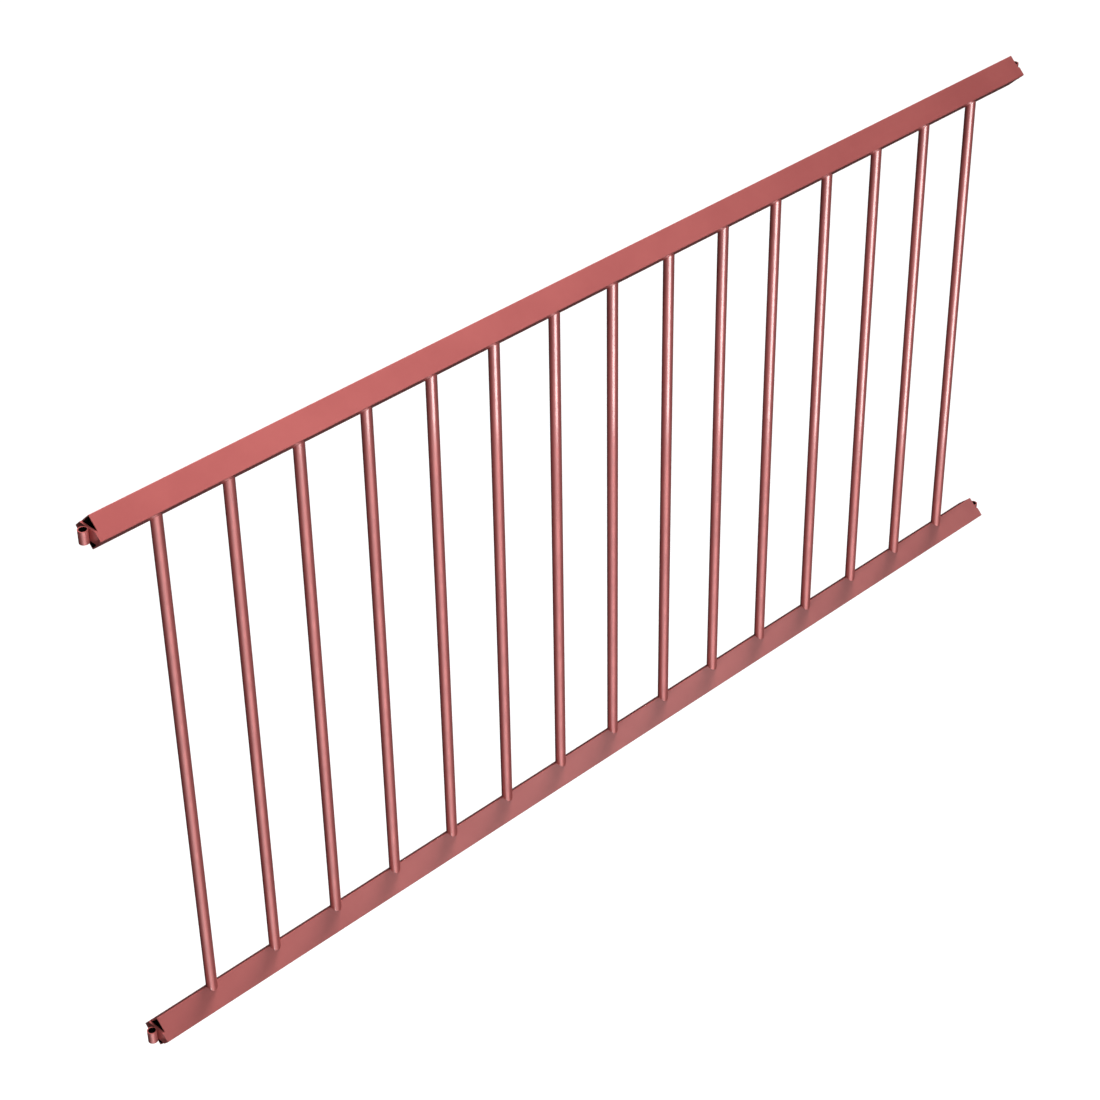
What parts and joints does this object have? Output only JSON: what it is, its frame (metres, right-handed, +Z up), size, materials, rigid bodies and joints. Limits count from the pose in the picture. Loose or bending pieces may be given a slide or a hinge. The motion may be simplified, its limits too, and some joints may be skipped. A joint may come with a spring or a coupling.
{
  "type": "barred safety fence panel",
  "caption": "Open fence panel of upright round bars between two square rails set on edge, with an upright eye for a pin on a plate at each rail end.",
  "frame": {"origin": "centre of the lower left eye's bottom face, on the axis of the left eyes", "axes": "+X along the rails from the left eyes to the right eyes, -Y towards the front, +Z up along the bars"},
  "size_m": [1.982, 0.0558, 0.9848],
  "materials": {
    "painted_steel": "semi-matt red paint, smooth, over welded steel tube"
  },
  "bodies": {
    "root": {"top_rail": "painted_steel", "bottom_rail": "painted_steel", "bar_01": "painted_steel", "bar_02": "painted_steel", "bar_03": "painted_steel", "bar_04": "painted_steel", "bar_05": "painted_steel", "bar_06": "painted_steel", "bar_07": "painted_steel", "bar_08": "painted_steel", "bar_09": "painted_steel", "bar_10": "painted_steel", "bar_11": "painted_steel", "bar_12": "painted_steel", "bar_13": "painted_steel", "bar_14": "painted_steel", "bar_15": "painted_steel", "end_plate_bottom_left": "painted_steel", "end_plate_bottom_right": "painted_steel", "end_plate_top_left": "painted_steel", "end_plate_top_right": "painted_steel", "eye_bottom_left": "painted_steel", "eye_bottom_right": "painted_steel", "eye_top_left": "painted_steel", "eye_top_right": "painted_steel"}
  },
  "joints": []
}
